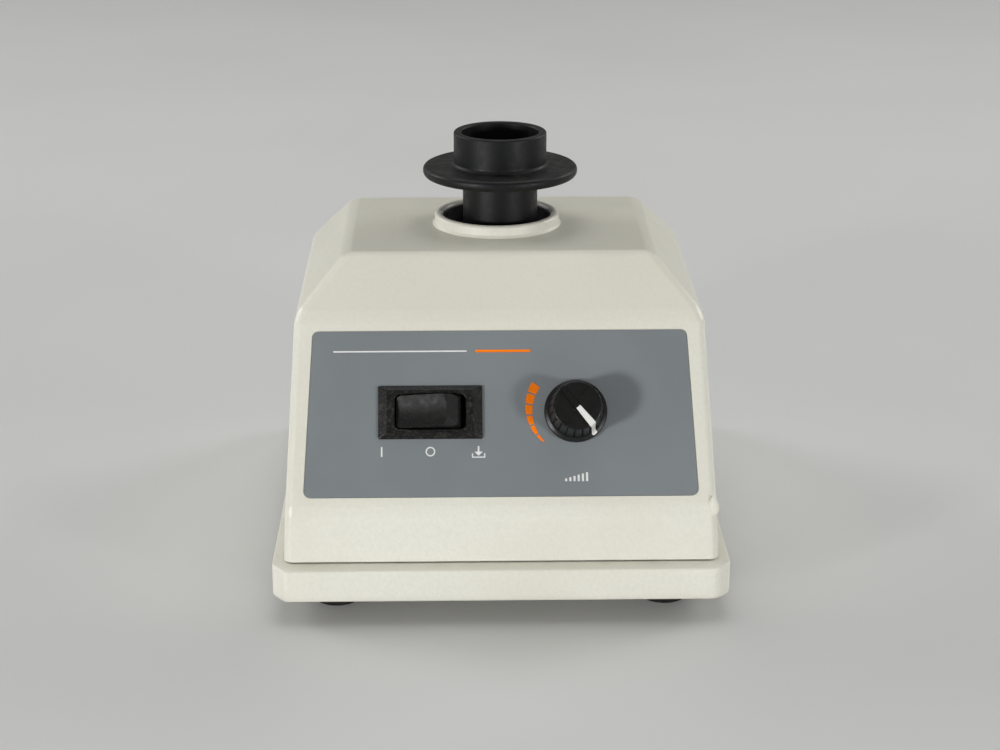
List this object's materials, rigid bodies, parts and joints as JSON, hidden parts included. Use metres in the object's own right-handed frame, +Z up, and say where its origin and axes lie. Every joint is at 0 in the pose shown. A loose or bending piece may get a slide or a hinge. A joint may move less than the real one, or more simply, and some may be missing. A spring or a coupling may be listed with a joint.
{
  "type": "vortex mixer",
  "caption": "Laboratory vortex mixer: cast housing on a tray, sprung motor, eccentric-driven rubber cup, rocker switch and speed knob.",
  "frame": {"origin": "centre of the footprint, on the surface that the feet stand on", "axes": "+Z up, -Y towards the user (the control panel's side), +X to the right as seen from the front"},
  "size_m": [0.165, 0.21, 0.158],
  "materials": {
    "housing_paint": "satin",
    "black_rubber": "matte",
    "label_film": "satin",
    "zinc_steel": "satin",
    "black_plastic": "satin",
    "knob_plastic": "satin",
    "rocker_plastic": "satin",
    "white_plastic": "satin",
    "brass": "satin",
    "bright_steel": "bright",
    "spring_steel": "satin",
    "lamination_steel": "matte",
    "copper_winding": "varnished",
    "cast_aluminium": "as cast",
    "board_laminate": "satin",
    "wire_insulation": "satin",
    "cup_rubber": "matte"
  },
  "bodies": {
    "housing": {"base_tray": "housing_paint", "cover_gasket": "black_rubber", "housing_cover": "housing_paint", "collar_seal": "black_rubber", "panel_label": "label_film", "rubber_feet": "black_rubber", "foot_screws": "zinc_steel", "cover_screws": "zinc_steel", "switch_housing": "black_plastic", "switch_terminals": "brass", "rocker_pin": "bright_steel", "pot_body": "zinc_steel", "pot_washer": "zinc_steel", "pot_nut": "zinc_steel", "guide_posts": "bright_steel", "post_clips": "zinc_steel", "suspension_springs": "spring_steel", "touch_switch_bracket": "zinc_steel", "touch_switch": "black_plastic", "circuit_board": "board_laminate", "board_components": "black_plastic", "board_standoffs": "brass", "cord_gland": "black_plastic", "gland_nut": "black_plastic", "wiring": "wire_insulation"},
    "carriage": {"motor_plate": "zinc_steel", "stator_core": "lamination_steel", "stator_windings": "copper_winding", "lower_bracket": "cast_aluminium", "upper_bracket": "cast_aluminium", "motor_bushes": "brass", "motor_bolts": "zinc_steel"},
    "rotor": {"motor_rotor": "lamination_steel", "motor_shaft": "bright_steel", "cooling_fan": "black_plastic", "eccentric_hub": "bright_steel", "bearing_inner_ring": "bright_steel", "bearing_screw": "zinc_steel"},
    "head": {"cup_head": "cup_rubber", "head_hub": "white_plastic", "bearing_outer_ring": "bright_steel", "bearing_balls": "bright_steel"},
    "rocker": {"switch_rocker": "rocker_plastic"},
    "knob": {"speed_knob": "knob_plastic", "knob_pointer": "white_plastic", "pot_shaft": "bright_steel", "knob_set_screw": "zinc_steel"},
    "plunger": {"touch_plunger": "white_plastic"}
  },
  "joints": [
    {"name": "touch_press", "type": "slide", "parent": "housing", "child": "carriage", "axis": [0, 0, 1], "range_m": [-0.002, 0], "stiffness_N_per_m": 9000, "springref_m": 0.0045, "deforming": ["suspension_springs"]},
    {"name": "motor_spin", "type": "hinge", "parent": "carriage", "child": "rotor", "pos_m": [0, -0.0055, 0.07], "axis": [0, 0, 1], "continuous": true},
    {"name": "head_orbit", "type": "hinge", "parent": "rotor", "child": "head", "pos_m": [0.00127, -0.00677, 0.12], "axis": [0, 0, 1], "continuous": true},
    {"name": "rocker_tilt", "type": "hinge", "parent": "housing", "child": "rocker", "pos_m": [-0.0252, -0.08103, 0.07101], "axis": [0, 0.4741, 0.8805], "range_deg": [0, 34]},
    {"name": "speed_turn", "type": "hinge", "parent": "housing", "child": "knob", "pos_m": [0.0269, -0.08367, 0.07243], "axis": [0, -0.8805, 0.4741], "range_deg": [-9, 291]},
    {"name": "plunger_press", "type": "slide", "parent": "housing", "child": "plunger", "axis": [0, 0, 1], "range_m": [-0.002, 0]}
  ],
  "couplings": [
    {"joint": "head_orbit", "follows": "motor_spin", "ratio": -1},
    {"joint": "plunger_press", "follows": "touch_press", "ratio": 1}
  ]
}
